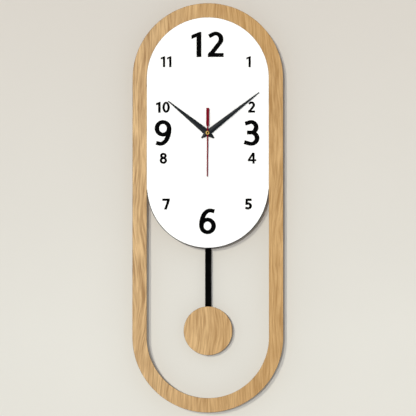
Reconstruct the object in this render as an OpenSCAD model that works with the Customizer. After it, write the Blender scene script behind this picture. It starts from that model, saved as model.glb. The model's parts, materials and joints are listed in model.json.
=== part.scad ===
// Pendulum wall clock: a capsule-shaped wooden ring with a white dial set in its upper part,
// and a wooden bob that swings on a black rod in the open lower part.
// Every piece is written in face coordinates: x to the right, y up, z away from the wall,
// with the hand shaft at x = 0, y = 0 and the wall at z = 0.
// Module place_on_wall turns them to the row frame, whose origin is the hole of the hanger plate.
// Bodies: the fixed assembly, the pendulum, the hand-setting train and the running train.

/* [Wooden ring] */
// overall width of the ring
ring_width = 221; // [218:0.5:224]
// width of the wooden band
band_width = 21; // [20:0.5:22]
// length of the straight sides, between the centres of the two round ends
ring_straight = 379; // [375:1:385]
// thickness of the ring board
ring_thickness = 9; // [8.5:0.5:10]
// width of the rabbet that takes the backing plate
rabbet_width = 8; // [7:0.5:9]

/* [Dial] */
// length of the dial's straight sides
dial_straight = 160; // [156:1:162]
// gap all round between the dial and the ring
dial_gap = 0.1; // [0.05:0.05:0.3]
// thickness of the dial board
dial_thickness = 6; // [6:0.5:6.5]
// height of the centre of the dial's upper arc above the hand shaft
shaft_to_arc = 80.5; // [79:0.5:81]

/* [Numerals] */
// cap height of 12, 3, 6 and 9
large_cap = 37; // [34:0.2:39]
// cap height of the other numerals
small_cap = 16.1; // [15:0.1:17]
// weight added to each side of the strokes of 12, 3, 6 and 9
large_bold = 0.4; // [0:0.1:0.8]
// weight added to each side of the strokes of the other numerals, before they are scaled down
small_bold = 0.75; // [0:0.05:1]
// thickness of the cut numerals
numeral_thickness = 0.3; // [0.2:0.05:0.5]

/* [Hands] */
// length of the minute hand from the shaft
minute_length = 96; // [92:1:100]
// length of the hour hand from the shaft
hour_length = 75; // [71:1:79]
// length of the second hand from the shaft
second_length = 64; // [60:1:68]
// diameter of the brass boss of the second hand
boss_diameter = 5.4; // [5.2:0.1:6.6]
// width of the hour hand at the shaft
hour_width = 9.8; // [9:0.1:10.5]
// width of the minute hand at the shaft
minute_width = 8.6; // [8:0.1:9.2]
// direction of the hour hand, clockwise from 12
hour_angle = 309; // [300:1:318]
// direction of the minute hand, clockwise from 12
minute_angle = 51.8; // [45:0.2:60]
// direction of the second hand, clockwise from 12
second_angle = 180.4; // [175:0.2:185]

/* [Pendulum] */
// diameter of the wooden bob
bob_diameter = 71.5; // [69:0.5:74]
// thickness of the bob
bob_thickness = 6; // [5:0.5:7]
// distance from the hand shaft down to the centre of the bob
bob_drop = 289.6; // [285:0.2:294]
// width of the flat rod
rod_width = 9; // [8.5:0.1:9.5]

/* [Hanging] */
// height of the hanger hole above the hand shaft
hang_up = 172; // [171:0.5:173]
// diameter of the hole in the hanger plate
hanger_hole = 6.5; // [6.5:0.1:7]

/* [Hidden] */

// ring and dial
outer_r = ring_width / 2;
inner_r = outer_r - band_width;
arc_top = shaft_to_arc;
arc_low = arc_top - ring_straight;
dial_r = inner_r - dial_gap;
dial_low = arc_top - dial_straight;
z_front = 27.5;
z_ring = z_front - ring_thickness;
z_dial = z_front - dial_thickness;
z_back = 18.5;
rabbet_r = inner_r + rabbet_width;
band_mid = (outer_r + inner_r) / 2;
spacer_angle = 50;
spacer_r = band_mid + 1.5;
spacer_x = spacer_r * sin(spacer_angle);
spacer_y = arc_low - spacer_r * cos(spacer_angle);

// pendulum
pivot_y = -42;
rod_top = -85;
bob_y = -bob_drop;
z_rod = 10.5;
rod_thickness = 2;
z_bob = z_rod + rod_thickness;
hook_y = -92;
magnet_y = -70;

// gear train: pitch data and centres
m_fine = 0.3;
m_third = 10.2 * 2 / 72;
m_cannon = 0.4;
m_hour = 9.6 * 2 / 50;
third_at = 195;
third_x = 10.2 * cos(third_at);
third_y = 10.2 * sin(third_at);
inter_at = 25;
inter_x = 10.5 * cos(inter_at);
inter_y = 10.5 * sin(inter_at);
rotor_at = 40;
rotor_x = inter_x + 10.8 * cos(rotor_at);
rotor_y = inter_y + 10.8 * sin(rotor_at);
minute_at = 100;
minute_x = 9.6 * cos(minute_at);
minute_y = 9.6 * sin(minute_at);
knob_at = 140;
knob_x = minute_x + 9.6 * cos(knob_at);
knob_y = minute_y + 9.6 * sin(knob_at);

// ---------- helpers ----------

// face coordinates to the row frame
module place_on_wall() {
  rotate([90, 0, 0]) translate([0, -hang_up, 0]) children();
}

module slab(x0, x1, y0, y1, z0, z1) {
  translate([x0, y0, z0]) cube([x1 - x0, y1 - y0, z1 - z0]);
}

module post(x, y, z0, z1, d) {
  translate([x, y, z0]) cylinder(h = z1 - z0, d = d, $fn = 64);
}

// a flat-sided capsule: two round ends of radius r, centres at y_top and y_low
module capsule(r, y_top, y_low, z0, z1) {
  union() {
    post(0, y_top, z0, z1, 2 * r);
    post(0, y_low, z0, z1, 2 * r);
    slab(-r, r, y_low, y_top, z0, z1);
  }
}

module round_box(x0, x1, y0, y1, z0, z1, r) {
  union() {
    slab(x0 + r, x1 - r, y0, y1, z0, z1);
    slab(x0, x1, y0 + r, y1 - r, z0, z1);
    for (x = [x0 + r, x1 - r]) for (y = [y0 + r, y1 - r]) post(x, y, z0, z1, 2 * r);
  }
}

// a countersunk screw along z: head face at z0, shank running to z1; dir is 1 or -1
module csk_screw(x, y, z0, z1, head_d, shank_d) {
  dir = z1 > z0 ? 1 : -1;
  head_h = (head_d - shank_d) / 2;
  translate([x, y, z0]) rotate([dir > 0 ? 0 : 180, 0, 0]) difference() {
    union() {
      cylinder(h = head_h, d1 = head_d, d2 = shank_d, $fn = 48);
      cylinder(h = abs(z1 - z0), d = shank_d, $fn = 48);
    }
    for (a = [0, 90]) rotate([0, 0, a])
      translate([-head_d * 0.3, -head_d * 0.06, -0.01]) cube([head_d * 0.6, head_d * 0.12, head_h * 0.5]);
  }
}

// the hole that such a screw leaves
module csk_hole(x, y, z0, z1, head_d, shank_d) {
  dir = z1 > z0 ? 1 : -1;
  head_h = (head_d - shank_d) / 2;
  translate([x, y, z0]) rotate([dir > 0 ? 0 : 180, 0, 0]) union() {
    cylinder(h = head_h, d1 = head_d, d2 = shank_d, $fn = 48);
    cylinder(h = abs(z1 - z0), d = shank_d, $fn = 48);
  }
}

// flat-flanked gear teeth: n teeth of module m, first tooth centred on angle a
function tooth_points(n, m, add, a) = [
  for (i = [0 : n - 1]) for (k = [0 : 3])
    let (r = (k == 0 || k == 3) ? n * m / 2 - m : n * m / 2 + add * m)
    let (w = k == 0 ? -0.22 : (k == 1 ? -0.08 : (k == 2 ? 0.08 : 0.22)))
    let (t = a + (i + w) * 360 / n)
    [r * cos(t), r * sin(t)]
];

// phase of the meshing gear: gear 1 has na teeth and phase pa, gear 2 lies at angle a from it
function mesh_phase(a, pa, na, nb) = a + 180 - 180 / nb + (a - pa) * na / nb;

function ngon(r, n) = [for (i = [0 : n - 1]) [r * cos(360 * i / n), r * sin(360 * i / n)]];

module prism(r, n, z0, z1) {
  translate([0, 0, z0]) linear_extrude(height = z1 - z0) polygon(ngon(r, n));
}

module teeth(n, m, add, a, z0, z1) {
  translate([0, 0, z0]) linear_extrude(height = z1 - z0) polygon(tooth_points(n, m, add, a));
}

// ---------- wooden ring, dial and backing ----------

module ring_frame() {
  color([0.79, 0.64, 0.45]) place_on_wall() difference() {
    capsule(outer_r, arc_top, arc_low, z_ring, z_front);
    capsule(inner_r, arc_top, arc_low, z_ring - 1, z_front + 1);
    // rabbet behind, around the upper part
    post(0, arc_top, z_ring - 1, z_dial, 2 * rabbet_r + 0.3);
    slab(-rabbet_r - 0.15, rabbet_r + 0.15, dial_low - 0.15, arc_top, z_ring - 1, z_dial);
    for (p = ring_screw_spots) post(p[0], p[1], z_dial - 1, z_dial + 4.6, 2.6);
    for (s = [-1, 1]) post(s * spacer_x, spacer_y, z_ring - 1, z_ring + 5, 2.6);
    for (s = [-1, 1]) post(s * 22, arc_top + outer_r - 7, z_ring - 1, z_ring + 5, 2.6);
  }
}

// screws through the rim of the backing plate into the ring
ring_screw_spots = [
  for (a = [20, 60, 120, 160]) [(inner_r + 4) * cos(a), arc_top + (inner_r + 4) * sin(a)],
  [-inner_r - 4, arc_top - 60], [inner_r + 4, arc_top - 60],
  [-inner_r - 4, dial_low + 12], [inner_r + 4, dial_low + 12]
];
dial_screw_spots = [[-70, 95], [70, 95], [-60, -100], [60, -100]];

module dial_plate() {
  color([0.96, 0.96, 0.95]) place_on_wall() difference() {
    capsule(dial_r, arc_top, dial_low, z_dial, z_front);
    post(0, 0, z_dial - 1, z_front + 1, 5.6);
    post(0, 0, z_dial - 1, z_dial + 4.5, 16.6);
    for (p = dial_screw_spots) post(p[0], p[1], z_dial - 1, z_dial + 4.2, 2.6);
  }
}

module backing_plate() {
  color([0.45, 0.33, 0.22]) place_on_wall() difference() {
    union() {
      post(0, arc_top, z_back, z_dial, 2 * rabbet_r);
      slab(-rabbet_r, rabbet_r, dial_low, arc_top, z_back, z_dial);
      post(0, dial_low, z_back, z_dial, 2 * (dial_r - 2));
    }
    post(0, 0, z_back - 1, z_dial + 1, 8.4);
    for (p = ring_screw_spots) csk_hole(p[0], p[1], z_back, z_dial + 1, 5.4, 2.8);
    for (p = dial_screw_spots) csk_hole(p[0], p[1], z_back, z_dial + 1, 5.4, 2.8);
  }
}

module ring_screws() {
  color([0.72, 0.72, 0.72]) place_on_wall()
    for (p = ring_screw_spots) csk_screw(p[0], p[1], z_back, z_dial + 4, 5.2, 2.6);
}

module dial_screws() {
  color([0.72, 0.72, 0.72]) place_on_wall()
    for (p = dial_screw_spots) csk_screw(p[0], p[1], z_back, z_dial + 3.8, 5.2, 2.6);
}

// ---------- numerals ----------
// drawn for a cap height of 36.6, then made bolder by $bold on each side and scaled

cap = 36.6;

function ellipse_line(cx, cy, rx, ry, a0, a1, n) =
  [for (i = [0 : n]) let (a = a0 + (a1 - a0) * i / n) [cx + rx * cos(a), cy + ry * sin(a)]];

// unit normal at point i of a line
function normal_at(line, i) =
  let (p = line[max(i - 1, 0)])
  let (q = line[min(i + 1, len(line) - 1)])
  let (d = norm(q - p))
  [-(q[1] - p[1]) / d, (q[0] - p[0]) / d];

// half the stroke: wider where the stroke runs upright
function half_stroke(nrm) = 2.5 + 0.6 * nrm[0] * nrm[0] + $bold;

function side_of(line, s) = [for (i = [0 : len(line) - 1])
  let (nrm = normal_at(line, i)) line[i] + s * half_stroke(nrm) * nrm];

module stroke(line) {
  right = side_of(line, 1);
  left = side_of(line, -1);
  last = len(line) - 1;
  polygon(concat(right, [for (i = [last : -1 : 0]) left[i]]));
}

function ellipse_points(cx, cy, rx, ry) =
  [for (i = [0 : 35]) [cx + rx * cos(10 * i), cy + ry * sin(10 * i)]];

module closed_bowl(cx, cy, rx, ry) {
  half_x = 3 + $bold;
  half_y = 2.55 + $bold;
  difference() {
    polygon(ellipse_points(cx, cy, rx + half_x, ry + half_y));
    polygon(ellipse_points(cx, cy, rx - half_x, ry - half_y));
  }
}

// a counterclockwise outline moved out by b, or in where b is negative
function grown(points, b) = [for (i = [0 : len(points) - 1])
  let (n = len(points))
  let (before = points[i] - points[(i + n - 1) % n])
  let (after = points[(i + 1) % n] - points[i])
  let (u = [before[1], -before[0]] / norm(before))
  let (v = [after[1], -after[0]] / norm(after))
  points[i] + b * (u + v) / (1 + u * v)];

module bold_polygon(points) {
  polygon(grown(points, $bold));
}

module digit_1() {
  bold_polygon([[7.5, 0], [13.9, 0], [13.9, cap], [11.4, cap], [9.2, cap - 0.8], [0, cap - 4.7],
    [0, cap - 9.6], [7.5, cap - 6.5]]);
}

module digit_2() {
  bowl = ellipse_line(11.2, cap - 10.6, 8, 8.5, 116, -30, 18);
  union() {
    stroke(concat([[1.4, cap - 6.2]], bowl, [[5, 4.8]]));
    bold_polygon([[0, 0], [22.6, 0], [22.6, 5.1], [7.2, 5.1], [1.9, 6.9], [0, 3.6]]);
  }
}

module digit_3() {
  union() {
    stroke(concat([[1.5, 32]], ellipse_line(10.2, 26.6, 7.6, 7.8, 116, -90, 20), [[4.1, 18.8]]));
    stroke(concat(ellipse_line(10.2, 10.45, 8.9, 8.35, 90, -112, 20), [[0.1, 4.7]]));
  }
}

module digit_4() {
  difference() {
    bold_polygon([[0, 12.9], [0, 8.4], [16.1, 8.4], [16.1, 0], [22.2, 0], [22.2, 8.4],
      [27.8, 8.4], [27.8, 13.8], [22.2, 13.8], [22.2, cap], [15.2, cap]]);
    polygon(grown([[6.6, 13.8], [16.1, 13.8], [16.1, 28]], -$bold));
  }
}

module digit_5() {
  union() {
    stroke(concat(ellipse_line(10, 11.4, 9.6, 8.9, 126, -112, 24), [[0.1, 4.6]]));
    bold_polygon([[2.2, 16.6], [6.4, 16.2], [8.6, cap], [3, cap]]);
    bold_polygon([[3, cap - 5.2], [21.4, cap - 5.2], [21.4, cap], [3, cap]]);
  }
}

module digit_6() {
  union() {
    closed_bowl(12, 11.5, 9, 9.35);
    stroke(concat(ellipse_line(15.8, 13, 12.8, 21.4, 184, 84, 18), [[22.2, 33]]));
  }
}

module digit_7() {
  bold_polygon([[0, cap], [0, cap - 5.2], [17.2, cap - 5.2], [12.4, 15], [6.6, 0],
    [13.2, 0], [18.6, 15], [24.2, cap - 4.3], [24.2, cap]]);
}

module digit_8() {
  union() {
    closed_bowl(12, 10.8, 8.8, 8.4);
    closed_bowl(12, 27.4, 7.7, 6.7);
  }
}

module digit_9() {
  translate([24, cap]) rotate(180) digit_6();
}

module digit_0() {
  closed_bowl(12, cap / 2, 9, cap / 2 - 2.4);
}

// the digits of one numeral, centred on (x, y); width is that of the digits as drawn
module numeral(x, y, width, height, bold) {
  $bold = bold;
  k = height / (cap + 2 * bold);
  translate([x - k * width / 2, y - k * cap / 2, z_front])
    scale([k, k, 1]) linear_extrude(height = numeral_thickness) children();
}

module large(x, y, width) {
  numeral(x, y, width, large_cap, large_bold) children();
}

// extra is the weight that a numeral has on top of small_bold
module small(x, y, width, extra = 0) {
  numeral(x, y, width, small_cap, small_bold + extra) children();
}

module second_digit(x) {
  translate([x, 0]) children();
}

module numerals_large() {
  color([0.04, 0.04, 0.05]) place_on_wall() union() {
    large(-0.3, 130.2, 46.9) {
      digit_1();
      second_digit(24.3) digit_2();
    }
    large(64.4, 0.1, 22.2) digit_3();
    large(-0.3, -129.4, 24) digit_6();
    large(-65.7, 0.4, 24) digit_9();
  }
}

module numerals_small() {
  color([0.04, 0.04, 0.05]) place_on_wall() union() {
    small(59.9, 104.6, 13.9) digit_1();
    small(64.3, 37.9, 22.5, 0.3) digit_2();
    small(64.9, -37, 27.8) digit_4();
    small(59.5, -104.2, 22.6, 1) digit_5();
    small(-61.1, -104, 24.2, 0.7) digit_7();
    small(-65.1, -36.9, 24, 0.5) digit_8();
    small(-65.8, 38.1, 46.8, 0.5) {
      digit_1();
      second_digit(22.8) digit_0();
    }
    small(-61.2, 105, 35.7) {
      digit_1();
      second_digit(21.8) digit_1();
    }
  }
}

// ---------- hanging ----------

module hanger_block() {
  color([0.80, 0.68, 0.50]) place_on_wall() difference() {
    slab(-32, 32, hang_up - 14, hang_up + 14, 1.5, z_back);
    post(0, hang_up, 1, 12, 15);
    for (s = [-1, 1]) post(s * 16, hang_up, 1, 9.6, 2.6);
    for (s = [-1, 1]) csk_hole(s * 22, arc_top + outer_r - 7, 6, z_back + 1, 6.4, 3.2);
    for (s = [-1, 1]) post(s * 22, arc_top + outer_r - 7, 1, 6.05, 6.4);
  }
}

module hanger_plate() {
  color([0.70, 0.71, 0.72]) place_on_wall() difference() {
    round_box(-20.5, 20.5, hang_up - 8, hang_up + 8, 0, 1.5, 6);
    post(0, hang_up, -1, 3, hanger_hole);
    for (s = [-1, 1]) csk_hole(s * 16, hang_up, 0, 2.5, 5.2, 2.8);
  }
}

module hanger_screws() {
  color([0.80, 0.80, 0.80]) place_on_wall()
    for (s = [-1, 1]) csk_screw(s * 16, hang_up, 0, 9, 5.0, 2.6);
}

module block_screws() {
  color([0.72, 0.72, 0.72]) place_on_wall()
    for (s = [-1, 1]) csk_screw(s * 22, arc_top + outer_r - 7, 6, z_ring + 4.6, 6.2, 2.6);
}

module standoff_spacers() {
  color([0.80, 0.68, 0.50]) place_on_wall()
    for (s = [-1, 1]) difference() {
      post(s * spacer_x, spacer_y, 1.5, z_ring, 14);
      csk_hole(s * spacer_x, spacer_y, 6, z_ring + 1, 6.4, 3.2);
      post(s * spacer_x, spacer_y, 1, 6.05, 6.4);
    }
}

module wall_pads() {
  color([0.20, 0.20, 0.20]) place_on_wall()
    for (s = [-1, 1]) post(s * spacer_x, spacer_y, 0, 1.5, 13);
}

module spacer_screws() {
  color([0.72, 0.72, 0.72]) place_on_wall()
    for (s = [-1, 1]) csk_screw(s * spacer_x, spacer_y, 6, z_ring + 4.6, 6.2, 2.6);
}

// ---------- movement case ----------

case_left = -31;
case_right = 31;
case_low = -82;
case_high = 30;
case_z0 = 2;
case_z1 = 17.5;
case_screw_spots = [[-26.5, 25.5], [26.5, 25.5], [-26, -77], [26, -77]];

module case_front() {
  color([0.07, 0.07, 0.08]) place_on_wall() difference() {
    union() {
      difference() {
        round_box(case_left, case_right, case_low, case_high, 3.4, case_z1, 4);
        slab(-29.5, 29.5, -14.3, 28.5, 2, 16);
        slab(-29.5, 29.5, -33.2, -15.8, 2, 16);
        slab(-29.5, 29.5, -80.5, -34.7, 2, 16);
      }
      for (p = case_screw_spots) post(p[0], p[1], 3.4, 16.5, 5);
      post(0, pivot_y, 12.2, 16.5, 7);
      // legs that carry the middle plate
      for (p = [[-27, -11], [20, 24], [-27, 10.5]]) post(p[0], p[1], 12, 16.5, 3.2);
    }
    for (p = case_screw_spots) post(p[0], p[1], 3, 12, 2.2);
    post(0, 0, 15, 18, 8);
    post(0, pivot_y, 12, 15.5, 3);
    post(minute_x, minute_y, 15, 16.9, 1.3);
    post(knob_x, knob_y, 15, 16.9, 2.3);
    // gap in the lower wall for the pendulum arm
    slab(-12, 12, -84, -80, 2, 12.4);
  }
}

module case_back() {
  color([0.07, 0.07, 0.08]) place_on_wall() difference() {
    union() {
      round_box(case_left, case_right, case_low, case_high, case_z0, 3.4, 4);
      for (p = [[0, 0], [third_x, third_y], [inter_x, inter_y], [rotor_x, rotor_y]])
        post(p[0], p[1], 3.4, 3.9, 3.4);
      post(0, pivot_y, 3.4, 6.6, 7);
    }
    slab(-27.5, 27.5, -32.4, -16.6, 1, 5);
    // battery and pendulum openings in the cover
    slab(-12, 12, -84, -78, 1, 5);
    post(knob_x, knob_y, 1, 5, 2.6);
    post(0, 0, 2.6, 5, 1.7);
    for (p = [[third_x, third_y], [inter_x, inter_y], [rotor_x, rotor_y]])
      post(p[0], p[1], 2.6, 5, 1.3);
    post(0, pivot_y, 4, 7, 3);
    for (p = case_screw_spots) csk_hole(p[0], p[1], case_z0, 5, 4.4, 2.4);
  }
}

module case_screws() {
  color([0.72, 0.72, 0.72]) place_on_wall()
    for (p = case_screw_spots) csk_screw(p[0], p[1], case_z0, 11, 4.2, 2.2);
}

module threaded_bushing() {
  color([0.80, 0.66, 0.30]) place_on_wall() difference() {
    union() {
      post(0, 0, 16, 25.6, 8);
      post(0, 0, case_z1, 18, 11);
      for (i = [0 : 6]) translate([0, 0, 22 + 0.5 * i])
        cylinder(h = 0.25, d = 8.15, $fn = 48);
    }
    post(0, 0, 15, 27, 5.1);
  }
}

module rubber_washer() {
  color([0.10, 0.10, 0.10]) place_on_wall() difference() {
    post(0, 0, case_z1, z_back, 17);
    post(0, 0, case_z1 - 1, z_back + 1, 11.2);
  }
}

module brass_washer() {
  color([0.83, 0.68, 0.32]) place_on_wall() difference() {
    post(0, 0, z_dial, z_dial + 0.6, 14);
    post(0, 0, z_dial - 1, z_dial + 2, 8.4);
  }
}

module hex_nut() {
  color([0.83, 0.68, 0.32]) place_on_wall() difference() {
    translate([0, 0, z_dial + 0.6]) cylinder(h = 2.5, d = 13.4, $fn = 6);
    post(0, 0, z_dial, z_dial + 4, 8.15);
  }
}

module middle_plate() {
  color([0.88, 0.88, 0.85]) place_on_wall() difference() {
    union() {
      slab(-28.6, 21.4, -13.6, 21.6, 11, 12);
      slab(12, 21.4, 21, 26, 11, 12);
    }
    post(0, 0, 10, 13, 3.6);
    post(minute_x, minute_y, 11.3, 13, 1.3);
    for (p = [[third_x, third_y], [inter_x, inter_y], [rotor_x, rotor_y]])
      post(p[0], p[1], 10, 11.6, 1.3);
    post(knob_x, knob_y, 10, 13, 2.6);
  }
}

module circuit_board() {
  color([0.10, 0.35, 0.18]) place_on_wall() difference() {
    slab(-28.6, -13.2, 1.6, 21.6, 4.2, 5);
    for (y = [4, 19]) post(-26.4, y, 4, 6, 1.6);
  }
}

module quartz_crystal() {
  color([0.78, 0.78, 0.80]) place_on_wall() union() {
    translate([-24.5, 17.5, 6.1]) rotate([0, 90, 0]) cylinder(h = 6, d = 2.2, $fn = 32);
    for (y = [17.1, 17.9]) slab(-25.6, -24.4, y - 0.15, y + 0.15, 5, 6.2);
  }
}

module driver_chip() {
  color([0.05, 0.05, 0.05]) place_on_wall() post(-18.5, 10, 5, 6, 7);
}

module stator() {
  color([0.62, 0.62, 0.64]) place_on_wall() difference() {
    union() {
      slab(13.6, 22, -13.5, 20.5, 6.9, 7.9);
      slab(20, 28, 16.5, 20.5, 6.9, 7.9);
      slab(20, 28, -13.5, -9.5, 6.9, 7.9);
    }
    post(rotor_x, rotor_y, 6, 9, 6.6);
  }
}

module coil_core() {
  color([0.55, 0.55, 0.57]) place_on_wall() slab(24.1, 27.1, -13.2, 20.2, 6.1, 6.9);
}

module coil_bobbin() {
  color([0.92, 0.90, 0.84]) place_on_wall() difference() {
    union() {
      slab(22.3, 28.9, -8.5, -7.6, 4, 10.4);
      slab(22.3, 28.9, 14.6, 15.5, 4, 10.4);
      slab(23.4, 27.8, -8.5, 15.5, 5.2, 7.8);
    }
    slab(24.1, 27.1, -10, 17, 6.1, 6.9);
  }
}

module coil_winding() {
  color([0.72, 0.36, 0.16]) place_on_wall() difference() {
    slab(22.5, 28.7, -7.6, 14.6, 4.3, 9.9);
    slab(23.4, 27.8, -9, 16, 5.2, 7.8);
  }
}

module battery() {
  color([0.25, 0.27, 0.30]) place_on_wall() union() {
    translate([-24.8, -24.5, 8.9]) rotate([0, 90, 0]) cylinder(h = 49.2, d = 14.2, $fn = 64);
    translate([24, -24.5, 8.9]) rotate([0, 90, 0]) cylinder(h = 1.4, d = 5.5, $fn = 48);
  }
}

module battery_contacts() {
  color([0.80, 0.80, 0.78]) place_on_wall() {
    union() {
      slab(28.9, 29.4, -31, -18, 4, 14);
      slab(25.9, 28.9, -31, -30.5, 6, 12);
      slab(25.4, 25.9, -31, -21, 6, 12);
    }
    union() {
      slab(-29.4, -28.9, -31, -18, 4, 14);
      slab(-28.9, -25.3, -18.5, -18, 6, 12);
      slab(-25.3, -24.8, -28, -18, 6, 12);
    }
  }
}

// ---------- pendulum drive in the lower chamber ----------

module pivot_pin() {
  color([0.75, 0.75, 0.76]) place_on_wall() post(0, pivot_y, 4, 15.5, 3);
}

module drive_bobbin() {
  color([0.92, 0.90, 0.84]) place_on_wall() difference() {
    union() {
      post(0, magnet_y, 12, 12.5, 18);
      post(0, magnet_y, 14.4, 15, 18);
      post(0, magnet_y, 12, 15, 7);
    }
    post(0, magnet_y, 11, 16, 4);
  }
}

module drive_winding() {
  color([0.72, 0.36, 0.16]) place_on_wall() difference() {
    post(0, magnet_y, 12.5, 14.4, 17.2);
    post(0, magnet_y, 12, 15, 7);
  }
}

module drive_board() {
  color([0.10, 0.35, 0.18]) place_on_wall() slab(-20, 20, -79.5, -55, 15, 16);
}

module pendulum_arm() {
  color([0.85, 0.85, 0.83]) place_on_wall() difference() {
    union() {
      post(0, pivot_y, 6.9, 11.9, 7);
      slab(-3, 3, -98, pivot_y, 8, 10.5);
      post(0, magnet_y, 7.4, 10.5, 12);
      post(0, hook_y, 10.4, 12.7, 3);
      post(0, hook_y, 12.6, 13.4, 4.2);
    }
    post(0, pivot_y, 6, 13, 3.1);
    post(0, magnet_y, 7.9, 11, 9);
  }
}

module pendulum_magnet() {
  color([0.60, 0.60, 0.62]) place_on_wall() post(0, magnet_y, 7.9, 10.9, 9);
}

module pendulum_rod() {
  color([0.05, 0.05, 0.05]) place_on_wall() difference() {
    slab(-rod_width / 2, rod_width / 2, bob_y - 28, rod_top, z_rod, z_bob);
    // keyhole: the hook's head enters below, and the neck rests in the slot's upper end
    post(0, hook_y, z_rod - 1, z_bob + 1, 3.1);
    slab(-1.55, 1.55, hook_y - 6, hook_y, z_rod - 1, z_bob + 1);
    post(0, hook_y - 6, z_rod - 1, z_bob + 1, 4.8);
    for (s = [-1, 1]) post(0, bob_y + 14 * s, z_rod - 1, z_bob + 1, 3);
  }
}

module pendulum_bob() {
  color([0.79, 0.64, 0.45]) place_on_wall() difference() {
    post(0, bob_y, z_bob, z_bob + bob_thickness, bob_diameter);
    for (s = [-1, 1]) post(0, bob_y + 14 * s, z_bob - 1, z_bob + 3.6, 2.6);
  }
}

module bob_screws() {
  color([0.72, 0.72, 0.72]) place_on_wall()
    for (s = [-1, 1]) difference() {
      union() {
        post(0, bob_y + 14 * s, z_rod - 1.4, z_rod, 5);
        post(0, bob_y + 14 * s, z_rod - 1, z_bob + 3.4, 2.6);
      }
      slab(-1.6, 1.6, bob_y + 14 * s - 0.3, bob_y + 14 * s + 0.3, z_rod - 2, z_rod - 0.8);
      slab(-0.3, 0.3, bob_y + 14 * s - 1.6, bob_y + 14 * s + 1.6, z_rod - 2, z_rod - 0.8);
    }
}

// ---------- running train ----------

module second_arbor() {
  color([0.78, 0.78, 0.80]) place_on_wall() post(0, 0, 2.8, 34.4, 1.5);
}

// wheel of 60, pinion of 8, pressed on the arbor
module second_wheel() {
  color([0.93, 0.90, 0.78]) place_on_wall() difference() {
    union() {
      teeth(60, m_fine, 0.75, mesh_phase(inter_at + 180, 0, 10, 60), 6.1, 6.8);
      prism(2, 16, 5.4, 7.2);
      teeth(8, m_fine, 0.6, third_at, 6.7, 8.8);
    }
    prism(0.77, 16, 5, 9);
  }
}

// wheel of 60 driven by the rotor, pinion of 10 that drives the second wheel
module intermediate_wheel() {
  color([0.93, 0.90, 0.78]) place_on_wall() translate([inter_x, inter_y, 0]) union() {
    teeth(60, m_fine, 0.75, rotor_at, 4.6, 5.3);
    teeth(10, m_fine, 0.6, 0, 5.3, 7.2);
    prism(1.05, 16, 4, 10.9);
    prism(0.55, 16, 2.8, 11.5);
  }
}

module rotor_pinion() {
  color([0.93, 0.90, 0.78]) place_on_wall() translate([rotor_x, rotor_y, 0]) union() {
    teeth(12, m_fine, 0.6, mesh_phase(rotor_at, rotor_at, 60, 12), 4.2, 5.7);
    prism(1.1, 16, 4, 10.9);
    prism(0.55, 16, 2.8, 11.5);
  }
}

module rotor_magnet() {
  color([0.45, 0.45, 0.47]) place_on_wall() difference() {
    post(rotor_x, rotor_y, 6.2, 8.6, 5.4);
    translate([rotor_x, rotor_y, 0]) prism(1.1, 16, 5, 10);
  }
}

// wheel of 60 driven by the second pinion, pinion of 8 that drives the centre wheel
module third_wheel() {
  color([0.93, 0.90, 0.78]) place_on_wall() translate([third_x, third_y, 0]) union() {
    teeth(60, m_fine, 0.75, mesh_phase(third_at, third_at, 8, 60), 7.6, 8.3);
    teeth(8, m_third, 0.6, third_at + 180, 8.3, 10.4);
    prism(0.8, 16, 4, 10.9);
    prism(0.55, 16, 2.8, 11.5);
  }
}

// wheel of 64 that grips the cannon pipe as a slipping clutch
module centre_wheel() {
  color([0.93, 0.90, 0.78]) place_on_wall() difference() {
    union() {
      teeth(64, m_third, 0.75, mesh_phase(third_at + 180, third_at + 180, 8, 64), 9.2, 9.9);
      prism(2.6, 16, 9.05, 10.8);
    }
    prism(1.38, 24, 8, 12);
  }
}

// ---------- hand-setting train ----------

module cannon_pipe() {
  color([0.80, 0.66, 0.30]) place_on_wall() difference() {
    union() {
      post(0, 0, 8.95, 32.9, 2.6);
      post(0, 0, 11.1, 31.9, 3.4);
    }
    post(0, 0, 8, 34, 1.6);
  }
}

module cannon_pinion() {
  color([0.93, 0.90, 0.78]) place_on_wall() difference() {
    teeth(12, m_cannon, 0.6, minute_at, 12.5, 14);
    prism(1.73, 24, 12, 15);
  }
}

// wheel of 36 driven by the cannon pinion, pinion of 10 that drives the hour wheel
module minute_wheel() {
  color([0.93, 0.90, 0.78]) place_on_wall() translate([minute_x, minute_y, 0]) union() {
    teeth(36, m_cannon, 0.75, mesh_phase(minute_at, minute_at, 12, 36), 12.8, 13.6);
    teeth(10, m_hour, 0.6, minute_at + 180, 13.6, 15.4);
    prism(1.2, 16, 12.2, 15.8);
    prism(0.55, 16, 11.4, 16.8);
  }
}

module hour_wheel() {
  color([0.93, 0.90, 0.78]) place_on_wall() difference() {
    teeth(40, m_hour, 0.75, mesh_phase(minute_at + 180, minute_at + 180, 10, 40), 14.4, 15.1);
    prism(2.53, 32, 14, 16);
  }
}

module hour_pipe() {
  color([0.80, 0.66, 0.30]) place_on_wall() difference() {
    post(0, 0, 14.2, 29.8, 5);
    post(0, 0, 14, 31, 3.5);
  }
}

// knob behind the case, stem through it and pinion of 12 in mesh with the minute wheel
module setting_knob() {
  wheel_phase = mesh_phase(minute_at, minute_at, 12, 36);
  color([0.93, 0.93, 0.90]) place_on_wall() translate([knob_x, knob_y, 0]) union() {
    teeth(20, 0.46, 0.3, 0, 0.5, 1.85);
    prism(1.05, 16, 1.8, 16.8);
    teeth(12, m_cannon, 0.6, mesh_phase(knob_at, wheel_phase, 36, 12), 12.4, 14.2);
  }
}

// ---------- hands ----------

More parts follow.
